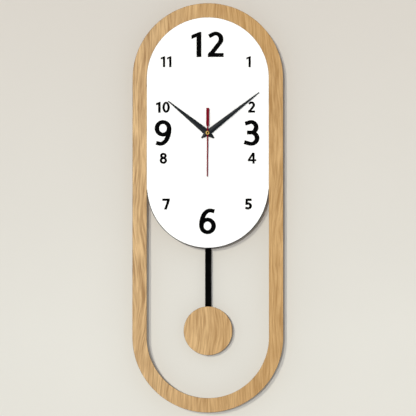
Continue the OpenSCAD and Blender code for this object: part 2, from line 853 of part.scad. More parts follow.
// a tapered hand with a raised centre ridge, along +y: w wide at the shaft, mid wide at the point
// mid_at along its length, 1.3 at the tip, and a tail that narrows to 1.8
module lance(length, tail, w, mid, mid_at, base, ridge) {
  t = 0.65;
  b = 0.9;
  outline = [[-b, -tail], [-w / 2, 0], [-mid / 2, mid_at], [-t, length],
    [t, length], [mid / 2, mid_at], [w / 2, 0], [b, -tail]];
  low = [for (p = outline) [p[0], p[1], 0]];
  high = [for (p = outline) [p[0], p[1], base]];
  crest = [[0, -tail, base + 0.2], [0, 0, ridge], [0, mid_at, (ridge + base + 0.15) / 2],
    [0, length, base + 0.15]];
  polyhedron(points = concat(low, high, crest), faces = concat(
    [[0, 7, 6, 5, 4, 3, 2, 1]],
    [for (i = [0 : 7]) [i, (i + 1) % 8, 8 + (i + 1) % 8, 8 + i]],
    [for (i = [0 : 2]) [8 + i, 9 + i, 17 + i]],
    [for (i = [0 : 2]) [8 + i, 17 + i, 16 + i]],
    [for (i = [0 : 2]) [15 - i, 17 + i, 14 - i]],
    [for (i = [0 : 2]) [15 - i, 16 + i, 17 + i]],
    [[11, 12, 19], [15, 8, 16]]
  ));
}

module hour_hand() {
  color([0.05, 0.05, 0.06]) place_on_wall() difference() {
    translate([0, 0, 28.7]) rotate([0, 0, -hour_angle]) union() {
      lance(hour_length, 12, hour_width, hour_width * 0.57, hour_length * 0.5, 0.4, 1.1);
      cylinder(h = 0.5, d = 7, $fn = 48);
    }
    post(0, 0, 28, 31, 5.04);
    post(0, 0, 29.2, 31, 7.4);
  }
}

module minute_hand() {
  color([0.05, 0.05, 0.06]) place_on_wall() difference() {
    translate([0, 0, 30.9]) rotate([0, 0, -minute_angle]) union() {
      lance(minute_length, 11.8, minute_width, minute_width * 0.64, minute_length * 0.46, 0.4, 1.1);
      cylinder(h = 0.5, d = 6.6, $fn = 48);
    }
    post(0, 0, 30, 33, 3.44);
    post(0, 0, 31.4, 33, 7);
  }
}

module minute_nut() {
  color([0.83, 0.68, 0.32]) place_on_wall() difference() {
    translate([0, 0, 31.4]) cylinder(h = 1.4, d = boss_diameter - 0.6, $fn = 12);
    post(0, 0, 30, 34, 2.6);
    post(0, 0, 30, 31.95, 3.4);
  }
}

module second_hand() {
  color([0.45, 0.08, 0.12]) place_on_wall() difference() {
    translate([0, 0, 33.7]) rotate([0, 0, -second_angle]) union() {
      linear_extrude(height = 0.4) polygon([
        [-0.85, second_length], [0.85, second_length], [1, 4], [1, -4], [0.8, -8.6],
        [1.3, -9.8], [2.1, -11], [2.2, -36.2], [1.8, -36.7], [-1.8, -36.7], [-2.2, -36.2],
        [-2.1, -11], [-1.3, -9.8], [-0.8, -8.6], [-1, -4], [-1, 4]
      ]);
      cylinder(h = 0.4, d = boss_diameter - 0.8, $fn = 48);
    }
    post(0, 0, 33, 35, 3);
  }
}

module second_hand_boss() {
  color([0.83, 0.66, 0.28]) place_on_wall() difference() {
    union() {
      post(0, 0, 34.1, 35.6, boss_diameter);
      translate([0, 0, 35.6]) cylinder(h = 0.6, d1 = boss_diameter, d2 = boss_diameter - 1.5, $fn = 48);
      post(0, 0, 33.2, 34.1, 3);
    }
    post(0, 0, 33, 34.6, 1.5);
    post(0, 0, 34.5, 37, 2.3);
  }
}

// ---------- what is drawn ----------

ring_frame();
dial_plate();
backing_plate();
numerals_large();
numerals_small();
ring_screws();
dial_screws();
hanger_block();
hanger_plate();
hanger_screws();
block_screws();
standoff_spacers();
wall_pads();
spacer_screws();
case_front();
case_back();
case_screws();
threaded_bushing();
rubber_washer();
brass_washer();
hex_nut();
middle_plate();
circuit_board();
quartz_crystal();
driver_chip();
stator();
coil_core();
coil_bobbin();
coil_winding();
battery();
battery_contacts();
pivot_pin();
drive_bobbin();
drive_winding();
drive_board();
second_arbor();
second_wheel();
second_hand();
second_hand_boss();
intermediate_wheel();
rotor_pinion();
rotor_magnet();
third_wheel();
centre_wheel();
cannon_pipe();
cannon_pinion();
minute_hand();
minute_nut();
minute_wheel();
hour_wheel();
hour_pipe();
hour_hand();
setting_knob();
pendulum_arm();
pendulum_magnet();
pendulum_rod();
pendulum_bob();
bob_screws();
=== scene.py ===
import json
import math

import bmesh
import bpy
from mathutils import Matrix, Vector


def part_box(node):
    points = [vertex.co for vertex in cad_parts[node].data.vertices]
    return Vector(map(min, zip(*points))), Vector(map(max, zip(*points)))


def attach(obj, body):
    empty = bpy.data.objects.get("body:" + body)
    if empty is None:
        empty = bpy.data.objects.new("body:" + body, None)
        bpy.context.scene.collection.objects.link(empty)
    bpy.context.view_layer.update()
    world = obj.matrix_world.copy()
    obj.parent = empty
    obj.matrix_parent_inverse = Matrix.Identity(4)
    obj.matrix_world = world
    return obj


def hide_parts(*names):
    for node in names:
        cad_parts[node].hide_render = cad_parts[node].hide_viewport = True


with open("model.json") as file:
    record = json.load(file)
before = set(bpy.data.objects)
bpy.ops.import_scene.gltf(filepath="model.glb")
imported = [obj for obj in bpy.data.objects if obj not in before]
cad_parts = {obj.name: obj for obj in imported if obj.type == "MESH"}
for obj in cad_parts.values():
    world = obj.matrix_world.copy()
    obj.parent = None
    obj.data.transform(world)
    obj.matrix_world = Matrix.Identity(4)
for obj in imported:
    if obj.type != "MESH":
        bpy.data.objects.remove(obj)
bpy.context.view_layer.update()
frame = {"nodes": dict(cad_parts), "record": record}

MM = 0.001
ARC_STEPS = 96  # flats in each half turn of the ring's and the dial's outline

# ---------- sizes, from the frame ----------

ring_low, ring_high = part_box("ring_frame")
outer_r = (ring_high.x - ring_low.x) / 2
arc_top = ring_high.z - outer_r
arc_bottom = ring_low.z + outer_r
middle_z = (ring_low.z + ring_high.z) / 2
y_front = ring_low.y
y_ring_back = ring_high.y

dial_gap = 0.1 * MM
dial_low, dial_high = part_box("dial_plate")
dial_r = (dial_high.x - dial_low.x) / 2
dial_arc_top = dial_high.z - dial_r
dial_arc_bottom = dial_low.z + dial_r
y_dial_back = dial_high.y
inner_r = dial_r + dial_gap

rabbet_gap = 0.15 * MM
plate_low, plate_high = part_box("backing_plate")
rabbet_r = (plate_high.x - plate_low.x) / 2 + rabbet_gap

bob_low, bob_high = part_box("pendulum_bob")
bob_r = (bob_high.x - bob_low.x) / 2
bob_z = (bob_low.z + bob_high.z) / 2

arbor_low, arbor_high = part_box("second_arbor")
shaft_z = (arbor_low.z + arbor_high.z) / 2


# ---------- camera ----------

# from the clock to the camera: nearly straight on, a little to the right and below,
# where the cut edges of the boards just show
view_side, view_below = math.radians(2.5), math.radians(2.2)
to_camera = Vector((math.sin(view_side) * math.cos(view_below),
                    -math.cos(view_side) * math.cos(view_below),
                    -math.sin(view_below)))


def make_camera():
    distance, width_seen = 5.0, 609.07 * MM
    aim_right, aim_down = 0.37 * MM, 0.88 * MM
    film_width = 36
    target = Vector((aim_right, y_front, middle_z - aim_down))
    data = bpy.data.cameras.new("camera")
    data.sensor_width = film_width
    data.lens = film_width * distance / width_seen
    data.clip_start, data.clip_end = 0.05, 60
    camera = bpy.data.objects.new("camera", data)
    camera.location = target + to_camera * distance
    camera.rotation_euler = (-to_camera).to_track_quat("-Z", "Y").to_euler()
    bpy.context.scene.collection.objects.link(camera)
    bpy.context.scene.camera = camera


# ---------- material nodes ----------

# every finished material, by its name
MATERIALS = {}

# sockets of a Mix node that mixes colours
MIX_AMOUNT, MIX_A, MIX_B, MIX_RESULT = 0, 6, 7, 2


class Surface:
    """One node material. Places are object coordinates in millimetres, so a pattern keeps its real size."""

    def __init__(self, name):
        self.material = bpy.data.materials.new(name)
        self.material.use_nodes = True
        self.tree = self.material.node_tree
        self.shader = self.tree.nodes["Principled BSDF"]
        self.object_place = self.add("ShaderNodeTexCoord").outputs["Object"]
        MATERIALS[name] = self.material

    def add(self, kind, settings=None, **inputs):
        node = self.tree.nodes.new(kind)
        for key, value in (settings or {}).items():
            setattr(node, key, value)
        for key, value in inputs.items():
            self.put(node.inputs[key], value)
        return node

    def put(self, socket, value):
        if isinstance(value, bpy.types.NodeSocket):
            self.tree.links.new(value, socket)
        else:
            socket.default_value = value

    def place(self, across=1.0, deep=None, along=None, shift=(0, 0, 0)):
        """The place in millimetres, times a factor on each axis. A single factor is for all three."""
        factors = [across if factor is None else factor for factor in (across, deep, along)]
        node = self.add("ShaderNodeMapping", {"vector_type": "POINT"}, Vector=self.object_place)
        node.inputs["Scale"].default_value = [factor / MM for factor in factors]
        node.inputs["Location"].default_value = shift
        return node.outputs[0]

    def axes(self):
        """X, Y and Z of the place in millimetres."""
        return self.add("ShaderNodeSeparateXYZ", Vector=self.place()).outputs

    def math(self, operation, a, b=0.0, c=0.0):
        node = self.add("ShaderNodeMath", {"operation": operation})
        for socket, value in zip(node.inputs, (a, b, c)):
            self.put(socket, value)
        return node.outputs[0]

    def noise(self, place, detail=2.0, roughness=0.5, distortion=0.0):
        node = self.add("ShaderNodeTexNoise", Vector=place, Scale=1.0, Detail=detail,
                        Roughness=roughness, Distortion=distortion)
        return node.outputs[0]

    def span(self, value, low, high, out_low=0.0, out_high=1.0):
        """The value's stretch from low to high, moved to out_low to out_high and held there."""
        node = self.add("ShaderNodeMapRange", {"clamp": True})
        for key, number in (("Value", value), ("From Min", low), ("From Max", high),
                            ("To Min", out_low), ("To Max", out_high)):
            self.put(node.inputs[key], number)
        return node.outputs[0]

    def mix(self, amount, a, b):
        """Colour a where the amount is 0, and colour b where it is 1."""
        node = self.add("ShaderNodeMix", {"data_type": "RGBA", "blend_type": "MIX"})
        colours = [x if isinstance(x, bpy.types.NodeSocket) else (*x, 1.0) for x in (a, b)]
        for index, value in zip((MIX_AMOUNT, MIX_A, MIX_B), (amount, *colours)):
            self.put(node.inputs[index], value)
        return node.outputs[MIX_RESULT]

    def bump(self, height, depth_mm, strength):
        node = self.add("ShaderNodeBump", Strength=strength, Distance=depth_mm * MM, Height=height)
        return node.outputs[0]

    def finish(self, colour, roughness, normal=None, metallic=0.0, specular=0.5):
        self.put(self.shader.inputs["Base Color"], colour)
        self.put(self.shader.inputs["Roughness"], roughness)
        self.shader.inputs["Metallic"].default_value = metallic
        self.shader.inputs["Specular IOR Level"].default_value = specular
        if normal is not None:
            self.put(self.shader.inputs["Normal"], normal)


def oak_veneer():
    """Pale oak with an upright grain: broad bands, streaks, fine fibres and short open pores.
    It grows more golden towards the clock's right side, most of all at the top."""
    look = Surface("oak_veneer")
    sway_mm, waver_mm = 36.0, 7.0
    drift = look.noise(look.place(0.016, 0.016, 0.0055), detail=1.0)
    wander = look.noise(look.place(0.05, 0.05, 0.018, (40, 0, 7)), detail=1.0)
    x, y, z = look.axes()
    across = look.math("MULTIPLY_ADD", drift, sway_mm, x)
    across = look.math("MULTIPLY_ADD", wander, waver_mm, across)

    def grain(per_mm, along_per_mm, detail, offset):
        place = look.add("ShaderNodeCombineXYZ", X=look.math("MULTIPLY_ADD", across, per_mm, offset),
                         Y=look.math("MULTIPLY", y, per_mm), Z=look.math("MULTIPLY", z, along_per_mm))
        return look.noise(place.outputs[0], detail=detail, roughness=0.55)

    band = grain(0.05, 0.0035, 1.0, 3.0)
    streak = grain(0.19, 0.012, 1.0, 11.0)
    thin = grain(0.55, 0.028, 1.0, 19.0)
    fibre = grain(1.6, 0.035, 2.0, 27.0)
    pore = look.span(grain(3.4, 0.11, 1.0, 53.0), 0.60, 0.72)
    weights = ((band, 0.3), (streak, 0.6), (thin, 1.2), (fibre, 0.35))
    tone = 0.0
    for part, weight in weights:
        tone = look.math("MULTIPLY_ADD", part, weight, tone)
    middle_tone = sum(weight for _, weight in weights) / 2
    reach = 0.30
    pale, dark = (0.67, 0.452, 0.228), (0.30, 0.172, 0.070)
    band_tan, golden, pore_brown = (0.52, 0.31, 0.14), (0.44, 0.227, 0.050), (0.20, 0.10, 0.04)
    colour = look.mix(look.span(tone, middle_tone - reach, middle_tone + reach), pale, dark)
    colour = look.mix(look.span(band, 0.35, 0.65, 0.0, 0.20), colour, band_tan)
    side = look.span(x, -outer_r / MM, outer_r / MM, 0.0, 0.36)
    rise = look.span(z, arc_top / MM, ring_high.z / MM, 1.0, 1.8)
    colour = look.mix(look.math("MULTIPLY", side, rise), colour, golden)
    colour = look.mix(look.math("MULTIPLY", pore, 0.35), colour, pore_brown)
    height = look.math("SUBTRACT", look.math("MULTIPLY", fibre, 0.35), pore)
    open_grain = look.math("ADD", pore, look.math("MULTIPLY", streak, 0.5))
    rough = look.span(open_grain, 0.0, 1.2, 0.42, 0.62)
    look.finish(colour, rough, look.bump(height, 0.05, 0.6), specular=0.3)


def cut_edge(name, dark, pale):
    """Cut edge of a board, browned by the cutter and darkened further as painted shade, with faint scorch
    lines through it.
    """
    look = Surface(name)
    scorch = look.noise(look.place(0.9, 0.15, 0.9), detail=3.0)
    fluff = look.noise(look.place(5), detail=2.0)
    pit = [0.45 * part for part in dark]
    colour = look.mix(look.span(scorch, 0.3, 0.7), dark, pale)
    colour = look.mix(look.span(fluff, 0.4, 0.7, 0.0, 0.4), colour, pit)
    rough = look.span(fluff, 0.3, 0.7, 0.75, 0.9)
    look.finish(colour, rough, look.bump(fluff, 0.06, 0.5), specular=0.2)


def fibreboard(name, dark, pale):
    """Pressed fibreboard: matted fibres, tiny flecks and a slightly uneven tone."""
    look = Surface(name)
    matted = look.noise(look.place(0.9, 0.9, 0.7), detail=4.0, roughness=0.7, distortion=1.5)
    fleck = look.noise(look.place(4.5, 4.5, 1.6), detail=2.0)
    tone = look.noise(look.place(0.03), detail=2.0)
    pit = [0.45 * part for part in dark]
    bleached = [1.25 * part for part in pale]
    colour = look.mix(look.span(matted, 0.3, 0.7), dark, pale)
    colour = look.mix(look.span(fleck, 0.55, 0.75, 0.0, 0.6), colour, pit)
    colour = look.mix(look.span(tone, 0.3, 0.7, 0.0, 0.35), colour, bleached)
    rough = look.span(matted, 0.3, 0.7, 0.62, 0.85)
    look.finish(colour, rough, look.bump(matted, 0.08, 0.6), specular=0.25)


def raw_pine():
    """Sanded pine: soft wide growth rings and a few fine fibres."""
    look = Surface("pine")
    rings_up, rings_deep, bend_rings = 0.36, 0.24, 4.0
    early_wood, late_wood, fibre_tan = (0.66, 0.47, 0.26), (0.50, 0.29, 0.12), (0.42, 0.25, 0.11)
    bend = look.noise(look.place(0.02, 0.05, 0.05), detail=1.0)
    _, y, z = look.axes()
    ring_at = look.math("ADD", look.math("MULTIPLY", z, rings_up), look.math("MULTIPLY", bend, bend_rings))
    ring_at = look.math("ADD", ring_at, look.math("MULTIPLY", y, rings_deep))
    late = look.math("POWER", look.math("FRACT", ring_at), 3.0)
    fibre = look.noise(look.place(0.08, 3.0, 3.0), detail=2.0)
    colour = look.mix(late, early_wood, late_wood)
    colour = look.mix(look.span(fibre, 0.35, 0.7, 0.0, 0.3), colour, fibre_tan)
    rough = look.span(fibre, 0.3, 0.7, 0.6, 0.78)
    look.finish(colour, rough, look.bump(fibre, 0.05, 0.5), specular=0.3)


def white_laminate():
    """Satin white laminate of the dial, with a very fine pebble."""
    look = Surface("dial_white")
    pebble = look.noise(look.place(2.2), detail=2.0)
    tone = look.noise(look.place(0.02), detail=1.0)
    colour = look.mix(look.span(tone, 0.3, 0.7), (0.925, 0.925, 0.92), (0.945, 0.945, 0.94))
    rough = look.span(pebble, 0.3, 0.7, 0.48, 0.58)
    look.finish(colour, rough, look.bump(pebble, 0.01, 0.3), specular=0.35)


def moulded(name, colour, rough, grain_mm, depth_mm, specular=0.4, mottle=0.15):
    """Moulded or lacquered surface: an even colour with slight mottling, and a fine texture whose
    grains are about grain_mm across and up to depth_mm deep."""
    look = Surface(name)
    grain = look.noise(look.place(1 / grain_mm), detail=2.0)
    tone = look.noise(look.place(0.06), detail=3.0)
    paler = [min(1.0, part * (1 + mottle) + 0.01 * mottle) for part in colour]
    darker = [part * (1 - mottle) for part in colour]
    mixed = look.mix(look.span(tone, 0.3, 0.7), darker, paler)
    uneven = look.span(grain, 0.25, 0.75, rough - 0.06, rough + 0.08)
    look.finish(mixed, uneven, look.bump(grain, depth_mm, 0.5), specular=specular)


def metal(name, colour, rough, brush, tarnish=(0.7, 0.7, 0.7)):
    """Metal with drawn or brushed lines, and patches that are a little duller. brush is the lines'
    rate per millimetre along X, Y and Z, so they run along the axis where it is small."""
    look = Surface(name)
    line = look.noise(look.place(*brush), detail=3.0)
    patch = look.noise(look.place(0.25), detail=3.0)
    dull = [part * loss for part, loss in zip(colour, tarnish)]
    mixed = look.mix(look.span(patch, 0.45, 0.75, 0.0, 0.6), colour, dull)
    brushed = look.span(line, 0.3, 0.7, rough - 0.08, rough + 0.08)
    dulled = look.span(patch, 0.4, 0.8, 0.0, 0.14)
    uneven = look.math("ADD", brushed, dulled)
    look.finish(mixed, uneven, look.bump(line, 0.012, 0.5), metallic=1.0)


def wound_wire(name, centre=None):
    """Enamelled copper wire, laid in turns side by side along Z, or out from a centre (x, z) in metres."""
    look = Surface(name)
    pitch_mm = 0.25
    # the colour between the turns is painted shade
    groove_shade, crest, rubbed = (0.16, 0.04, 0.012), (0.52, 0.17, 0.06), (0.66, 0.27, 0.10)
    x, _, z = look.axes()
    across_turns = z
    if centre is not None:
        x = look.math("SUBTRACT", x, centre[0] / MM)
        z = look.math("SUBTRACT", z, centre[1] / MM)
        square = look.math("ADD", look.math("MULTIPLY", x, x), look.math("MULTIPLY", z, z))
        across_turns = look.math("SQRT", square)
    turn = look.math("SINE", look.math("MULTIPLY", across_turns, 2 * math.pi / pitch_mm))
    height = look.span(turn, -1.0, 1.0)
    lay = look.noise(look.place(1.2, 1.2, 3.0), detail=2.0)
    # darker down in the grooves between turns: painted shade; paler on the crests
    colour = look.mix(height, groove_shade, crest)
    colour = look.mix(look.span(lay, 0.4, 0.7, 0.0, 0.4), colour, rubbed)
    rough = look.span(lay, 0.3, 0.7, 0.28, 0.45)
    look.finish(colour, rough, look.bump(height, 0.08, 0.8), metallic=0.8)


def solder_mask():
    """Green board with copper tracks that show as raised, paler lines under the mask."""
    look = Surface("board_green")
    track = look.add("ShaderNodeTexBrick", {"offset": 0.5}, Vector=look.place(0.5), Scale=1.0)
    for key, value in (("Color1", (0.018, 0.10, 0.035, 1)), ("Color2", (0.022, 0.12, 0.042, 1)),
                       ("Mortar", (0.045, 0.22, 0.08, 1)), ("Mortar Size", 0.06)):
        track.inputs[key].default_value = value
    weave = look.noise(look.place(2.5), detail=2.0)
    rough = look.span(weave, 0.3, 0.7, 0.25, 0.4)
    look.finish(track.outputs[0], rough, look.bump(track.outputs[1], 0.03, 0.6))


def battery_jacket():
    """Plain AA cell: dark wrapper, a coppery band at the plus end and bare steel ends."""
    look = Surface("battery_jacket")
    low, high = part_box("battery")
    minus_end, plus_end = low.x / MM, high.x / MM
    band_length, cap_length, foot_length = 14.5, 1.9, 0.5
    seam, lip = 0.3, 0.2
    wrapper, copper = (0.030, 0.034, 0.045), (0.50, 0.24, 0.10)
    scuffed, bare_steel = (0.5, 0.5, 0.5), (0.62, 0.62, 0.63)
    x = look.axes()[0]
    band = look.span(x, plus_end - band_length, plus_end - band_length + seam)
    cap = look.span(x, plus_end - cap_length, plus_end - cap_length + lip)
    foot = look.span(x, minus_end + foot_length, minus_end + foot_length - lip)
    steel = look.math("ADD", cap, foot)
    scuff = look.noise(look.place(0.5, 2.0, 2.0), detail=3.0)
    colour = look.mix(band, wrapper, copper)
    colour = look.mix(look.span(scuff, 0.55, 0.75, 0.0, 0.15), colour, scuffed)
    colour = look.mix(steel, colour, bare_steel)
    rough = look.span(scuff, 0.3, 0.7, 0.28, 0.4)
    look.finish(colour, rough, look.bump(scuff, 0.01, 0.3), metallic=0.6)


def one_sided(name, colour, top_shade_tint=(1.0, 1.0, 1.0)):
    """Matt stage surface that is clear from behind, so the clock shows from every side.
    The third argument multiplies its colour towards the clock's top: painted shade, so the surface is darker
    up there."""
    look = Surface(name)
    tone = look.noise(look.place(0.004), detail=2.0)
    darker = [0.985 * part for part in colour]
    paler = [min(1, 1.015 * part) for part in colour]
    mixed = look.mix(look.span(tone, 0.3, 0.7), darker, paler)
    # painted shade: the colour is darkened towards the top of the clock
    top_shade = look.span(look.axes()[2], arc_bottom / MM, ring_high.z / MM)
    mixed = look.mix(top_shade, mixed, [part * tint for part, tint in zip(colour, top_shade_tint)])
    look.finish(mixed, 0.9, specular=0.1)
    clear = look.add("ShaderNodeBsdfTransparent")
    choose = look.add("ShaderNodeMixShader")
    look.put(choose.inputs[0], look.add("ShaderNodeNewGeometry").outputs["Backfacing"])
    look.put(choose.inputs[1], look.shader.outputs[0])
    look.put(choose.inputs[2], clear.outputs[0])
    look.put(look.tree.nodes["Material Output"].inputs["Surface"], choose.outputs[0])


def make_materials():
    """Every material of the clock. Where the record has a slot for it, it has the slot's name."""
    coil_centre = [(low + high) / 2 for low, high in zip(*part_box("drive_winding"))]
    oak_veneer()
    # browned cut edge, made darker than the real edge as painted shade for the dark line along the boards'
    # edges
    cut_edge("burnt_edge_and_painted_shade", (0.030, 0.019, 0.011), (0.075, 0.047, 0.026))
    # near-black dial edge: partly the board's core, partly painted shade for the dark line under the dial
    cut_edge("dial_edge_and_painted_shade", (0.016, 0.015, 0.014), (0.042, 0.040, 0.036))
    fibreboard("core_board", (0.22, 0.135, 0.07), (0.34, 0.22, 0.12))
    # near black inside the bore of the second hand's boss: painted shade of the deep hole
    moulded("bore_painted_shade", (0.016, 0.010, 0.004), 0.5, 0.3, 0.01, specular=0.1)
    white_laminate()
    fibreboard("hardboard", (0.14, 0.075, 0.035), (0.27, 0.155, 0.075))
    moulded("numeral_black", (0.0006, 0.0006, 0.0007), 0.7, 0.4, 0.006, specular=0.02)
    metal("zinc_steel", (0.62, 0.62, 0.64), 0.34, (1.5, 1.5, 1.5), (0.72, 0.72, 0.70))
    raw_pine()
    metal("hanger_steel", (0.60, 0.60, 0.61), 0.32, (0.12, 5.0, 5.0))
    moulded("pad_rubber", (0.018, 0.018, 0.019), 0.8, 0.35, 0.05, specular=0.25)
    moulded("case_black", (0.014, 0.014, 0.016), 0.52, 0.28, 0.04, mottle=0.3)
    metal("brass", (0.90, 0.60, 0.16), 0.30, (3.0, 3.0, 0.4), (0.8, 0.74, 0.6))
    moulded("white_plastic", (0.78, 0.78, 0.74), 0.42, 0.6, 0.015, mottle=0.05)
    solder_mask()
    metal("can_steel", (0.64, 0.64, 0.65), 0.22, (0.3, 4.0, 4.0))
    moulded("chip_black", (0.01, 0.01, 0.01), 0.25, 0.8, 0.03, specular=0.5)
    metal("lamination_steel", (0.36, 0.36, 0.38), 0.45, (1.0, 8.0, 1.0))
    moulded("bobbin_plastic", (0.80, 0.76, 0.64), 0.45, 0.6, 0.015, mottle=0.06)
    wound_wire("coil_wire")
    wound_wire("drive_wire", (coil_centre[0], coil_centre[2]))
    battery_jacket()
    metal("contact_steel", (0.66, 0.65, 0.62), 0.2, (0.4, 4.0, 4.0))
    moulded("gear_plastic", (0.84, 0.80, 0.60), 0.38, 0.7, 0.012, mottle=0.05)
    metal("magnet", (0.42, 0.42, 0.44), 0.18, (2.0, 2.0, 2.0))
    moulded("hand_black", (0.0022, 0.0045, 0.006), 0.32, 0.5, 0.006, specular=0.3, mottle=0.2)
    moulded("hand_red", (0.165, 0.0008, 0.009), 0.42, 0.5, 0.006, specular=0.05, mottle=0.1)
    moulded("rod_black", (0.0004, 0.0004, 0.0005), 0.6, 0.4, 0.01, specular=0.01, mottle=0.2)


def dress_cad_nodes():
    """Gives every CAD node the material of its slot in the record, and the two coils their wire."""
    special = {"coil_winding": "coil_wire", "drive_winding": "drive_wire"}
    slot_of = {row["node"]: row["material_slot"] for row in frame["record"]["subparts"]}
    for name, node in frame["nodes"].items():
        material = MATERIALS[special.get(name, slot_of[name])]
        if not node.material_slots:
            node.data.materials.append(material)
        for slot in node.material_slots:
            slot.material = material


# ---------- meshes ----------

def stadium_arcs(upper_z, lower_z):
    """Stations of the upper and of the lower half circle: each is its centre's height and an angle."""
    upper = [(upper_z, math.pi * i / ARC_STEPS) for i in range(ARC_STEPS + 1)]
    return upper, [(lower_z, math.pi + angle) for _, angle in upper]


def on_station(station, r, y):
    centre_z, angle = station
    return Vector((r * math.cos(angle), y, centre_z + r * math.sin(angle)))


def circle(r, x, z, y, steps):
    angles = [2 * math.pi * i / steps for i in range(steps)]
    return [Vector((x + r * math.cos(a), y, z + r * math.sin(a))) for a in angles]


def circle_facing(loop, r, x, z, y):
    """A circle with one point towards each point of the loop round it."""
    angles = [math.atan2(p.z - z, p.x - x) for p in loop]
    return [Vector((x + r * math.cos(a), y, z + r * math.sin(a))) for a in angles]


def eased(r_flat, y_flat, r_side, y_side, steps=3):
    """Points of a rounded edge, from the flat face round to the side, as (r, y)."""
    angles = [math.pi / 2 * i / steps for i in range(steps + 1)]
    return [(r_flat + (r_side - r_flat) * math.sin(a),
             y_side + (y_flat - y_side) * math.cos(a)) for a in angles]


def loft(bm, loops, strips):
    """Joins each loop to the next with quads. strips holds each strip's material index.
    With as many strips as loops, the last one joins the last loop to the first."""
    rows = [[bm.verts.new(p) for p in loop] for loop in loops]
    for i, material in enumerate(strips):
        a, b = rows[i], rows[(i + 1) % len(rows)]
        for k in range(len(a)):
            n = (k + 1) % len(a)
            bm.faces.new((a[k], a[n], b[n], b[k])).material_index = material
    return rows


def mesh_object(name, bm, materials):
    mesh = bpy.data.meshes.new(name)
    bm.to_mesh(mesh)
    bm.free()
    for material in materials:
        mesh.materials.append(MATERIALS[material])
    obj = bpy.data.objects.new(name, mesh)
    bpy.context.scene.collection.objects.link(obj)
    return obj


def piece(name, bm, materials, body, replaces, smooth_deg=30):
    """Makes the object of a finished mesh, with even normals, puts it under its body and hides the CAD node
    it stands in for.
    """
    same_point = 1e-7
    bmesh.ops.remove_doubles(bm, verts=bm.verts, dist=same_point)
    bmesh.ops.recalc_face_normals(bm, faces=bm.faces)
    obj = mesh_object(name, bm, materials)
    obj.data.shade_smooth()
    obj.data.set_sharp_from_angle(angle=math.radians(smooth_deg))
    obj.modifiers.new("even_normals", "WEIGHTED_NORMAL").keep_sharp = True
    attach(obj, body)
    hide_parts(replaces)


def make_ring():
    """The wooden ring: veneered face and eased edges, browned sides darkened further as painted shade, and
    the rabbet for the plate.
    """
    # the outer rounding is dark like the sides and widened, so with them it paints a shade line round the
    # ring's edge
    ease, inner_ease = 0.45 * MM, 0.2 * MM
    # the rabbet for the backing plate ends on both sides at this height
    step_z = dial_arc_bottom - rabbet_gap
    upper, lower = stadium_arcs(arc_top, arc_bottom)
    left, right = (step_z, math.pi), (step_z, 0.0)
    stations = [(s, "cut") for s in upper] + [(left, "cut"), (left, "plain")]
    stations += [(s, "plain") for s in lower] + [(right, "plain"), (right, "cut")]
    outside = eased(outer_r - ease, y_front, outer_r, y_front + ease) + [(outer_r, y_ring_back)]
    inside = eased(inner_r + inner_ease, y_front, inner_r, y_front + inner_ease)[::-1]
    behind = {"plain": [(rabbet_r, y_ring_back), (inner_r, y_ring_back), (inner_r, y_dial_back)],
              "cut": [(rabbet_r, y_ring_back), (rabbet_r, y_dial_back), (inner_r, y_dial_back)]}
    profiles = {kind: outside + points + inside for kind, points in behind.items()}
    count = len(profiles["cut"])
    loops = [[on_station(s, *profiles[kind][j]) for s, kind in stations] for j in range(count)]
    face, edge, core = 0, 1, 2
    browned = len(inside) - 2
    strips = [face] + [edge] * (browned + 1) + [core] * 2 + [edge] * (browned + 2) + [face] * 2
    bm = bmesh.new()
    loft(bm, loops, strips)
    materials = ["oak_veneer", "burnt_edge_and_painted_shade", "core_board"]
    piece("ring_board", bm, materials, "clock_body", "ring_frame")


def make_dial():
    """The white dial board, with its shaft hole, the nut's pocket behind and a dark cut edge.
    Where it meets the ring its edge is sharp and white. Below, a wider rounding shows the dark core, made
    wider and near black as painted shade for the shadow line under the dial."""
    sharp, shade_round_below, fade = 0.25 * MM, 1.0 * MM, 14 * MM
    hole_r, pocket_r, pocket_y = 2.8 * MM, 8.3 * MM, y_dial_back - 4.5 * MM
    upper, lower = stadium_arcs(dial_arc_top, dial_arc_bottom)
    stations = upper + lower

    def profile(station):
        drop = dial_arc_bottom - on_station(station, dial_r, 0).z
        ease = sharp + (shade_round_below - sharp) * min(max(drop / fade, 0), 1)
        return eased(dial_r - ease, y_front, dial_r, y_front + ease) + [(dial_r, y_dial_back)]

    profiles = [profile(s) for s in stations]
    count = len(profiles[0])
    loops = [[on_station(s, *p[j]) for s, p in zip(stations, profiles)] for j in range(count)]
    rim = loops[0]
    hole = [(pocket_r, y_dial_back), (pocket_r, pocket_y), (hole_r, pocket_y), (hole_r, y_front)]
    loops += [circle_facing(rim, r, 0, shaft_z, y) for r, y in hole]
    face, edge = 0, 1
    bm = bmesh.new()
    loft(bm, loops, [edge] * (len(loops) - 1) + [face])
    # above, the front rounding turns white; on the lower arc it stays dark as painted shade
    for quad in bm.faces:
        centre = quad.calc_center_median()
        if centre.y < y_front + sharp and centre.z > dial_arc_bottom - fade / 4:
            quad.material_index = face
    piece("dial_board", bm, ["dial_white", "dial_edge_and_painted_shade"], "clock_body", "dial_plate")


def make_bob():
    """The wooden bob: a veneered disc with an eased rim and a browned side, darkened further as painted
    shade.
    """
    ease, steps = 0.45 * MM, 128
    outline = eased(bob_r - ease, bob_low.y, bob_r, bob_low.y + ease)
    outline += eased(bob_r - ease, bob_high.y, bob_r, bob_high.y - ease)[::-1]
    face, edge, core = 0, 1, 2
    bm = bmesh.new()
    strips = [face] + [edge] * (len(outline) - 2)
    rows = loft(bm, [circle(r, 0, bob_z, y, steps) for r, y in outline], strips)
    bm.faces.new(rows[0]).material_index = face
    bm.faces.new(rows[-1]).material_index = core
    materials = ["oak_veneer", "burnt_edge_and_painted_shade", "core_board"]
    piece("bob_disc", bm, materials, "pendulum", "pendulum_bob")


